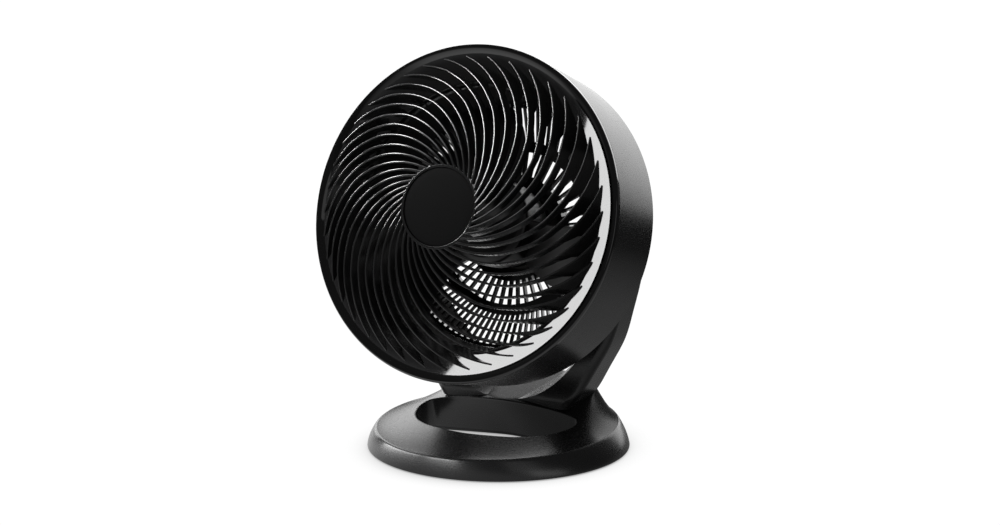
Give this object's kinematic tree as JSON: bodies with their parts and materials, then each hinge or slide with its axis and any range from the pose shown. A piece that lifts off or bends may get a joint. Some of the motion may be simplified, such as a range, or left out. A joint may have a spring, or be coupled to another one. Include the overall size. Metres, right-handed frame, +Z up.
{
  "type": "air circulator fan",
  "caption": "Table air circulator: a round swirl-grille head tilting in a cradle on a round weighted-looking base with a finger opening, black plastic, rear speed knob.",
  "frame": {"origin": "middle of the round base, on the floor", "axes": "+Z up; the fan blows towards -Y, tilted 14.3 degrees upwards as it stands; +X to the right seen from behind"},
  "size_m": [0.34, 0.2794, 0.4223],
  "materials": {
    "black_satin_plastic": "fine satin moulded texture",
    "black_gloss_plastic": "polished, mirror-like, faint scuffs",
    "grille_plastic": "satin with lightly polished front edges",
    "cap_plastic": "fine spark-eroded matt texture",
    "inner_plastic": "plain moulded",
    "impeller_plastic": "semi-gloss moulded",
    "rubber": "matt",
    "screw_steel": "black zinc, worn on the drive edges",
    "zinc_steel": "zinc plated sheet",
    "laminated_steel": "stacked sheet, varnished",
    "bearing_bronze": "oiled sintered bronze",
    "shaft_steel": "ground",
    "mark_plastic": "white printed ink on raised bars",
    "washer_nylon": "natural nylon"
  },
  "bodies": {
    "stand": {"base_skirt": "black_gloss_plastic", "base_cover": "black_satin_plastic", "base_plate": "inner_plastic", "rubber_feet": "rubber", "base_screws": "screw_steel", "cord_gland": "rubber", "yoke_front": "black_satin_plastic", "yoke_rear": "black_satin_plastic", "yoke_screws": "screw_steel", "pivot_caps": "black_satin_plastic", "pivot_washers": "washer_nylon"},
    "head": {"front_ring": "black_gloss_plastic", "front_grille": "grille_plastic", "hub_cap": "cap_plastic", "drum_shroud": "black_satin_plastic", "inner_duct": "inner_plastic", "rear_housing": "black_satin_plastic", "housing_screws": "screw_steel", "pivot_pins": "shaft_steel", "rear_grille": "grille_plastic", "motor_rear_shell": "zinc_steel", "motor_front_shell": "zinc_steel", "motor_stator": "laminated_steel", "motor_bearings": "bearing_bronze", "control_cup": "black_satin_plastic", "cup_screws": "screw_steel", "speed_switch": "inner_plastic", "motor_capacitor": "inner_plastic", "dial_marks": "mark_plastic"},
    "rotor": {"impeller": "impeller_plastic", "impeller_nut": "inner_plastic", "motor_shaft": "shaft_steel", "motor_rotor": "laminated_steel"},
    "knob": {"speed_knob": "black_gloss_plastic", "knob_pointer": "mark_plastic", "switch_shaft": "inner_plastic"}
  },
  "joints": [
    {"name": "tilt", "type": "hinge", "parent": "stand", "child": "head", "pos_m": [0, 0.04404, 0.22535], "axis": [-1, 0, 0], "range_deg": [-14.3, 75.6]},
    {"name": "impeller_spin", "type": "hinge", "parent": "head", "child": "rotor", "pos_m": [0, -0.08289, 0.25776], "axis": [0, -0.9689, 0.2475], "continuous": true},
    {"name": "knob_turn", "type": "hinge", "parent": "head", "child": "knob", "pos_m": [0, -0.08289, 0.25776], "axis": [0, -0.9689, 0.2475], "range_deg": [0, 135]}
  ]
}
